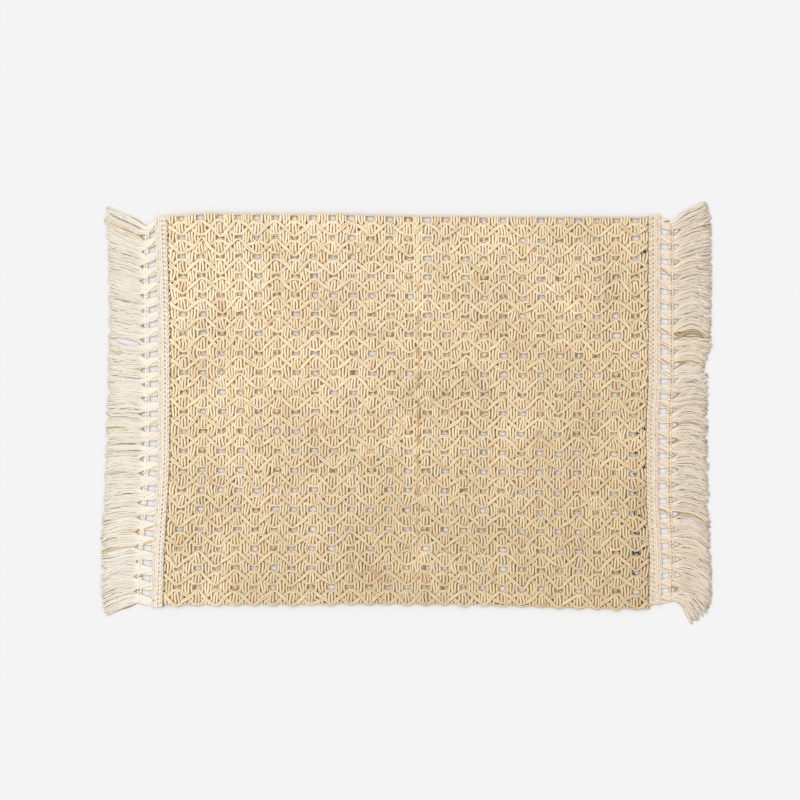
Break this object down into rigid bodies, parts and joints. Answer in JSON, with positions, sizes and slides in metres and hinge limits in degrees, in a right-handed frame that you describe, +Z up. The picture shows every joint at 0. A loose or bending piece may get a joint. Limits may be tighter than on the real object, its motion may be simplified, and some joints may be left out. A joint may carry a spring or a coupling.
{
  "type": "fringed placemat",
  "caption": "Flat rectangular openwork woven placemat with a knitted cotton fringe trim sewn along each short end.",
  "frame": {"origin": "on the surface that the mat lies on, under the middle of the whole mat with its fringes", "axes": "+X along the mat's long side towards the right fringe, +Y across it towards the corded edge, +Z up out of the face"},
  "size_m": [0.5168, 0.3528, 0.0033],
  "materials": {
    "straw_yarn": "thick straw-coloured natural yarn, woven open, matt with a slight dry sheen",
    "cotton_trim": "soft undyed cotton thread, knitted into a heading tape and cut to a loose fringe, matt"
  },
  "bodies": {
    "root": {"woven_panel": "straw_yarn", "fringe_trim_left": "cotton_trim", "fringe_trim_right": "cotton_trim"}
  },
  "joints": []
}
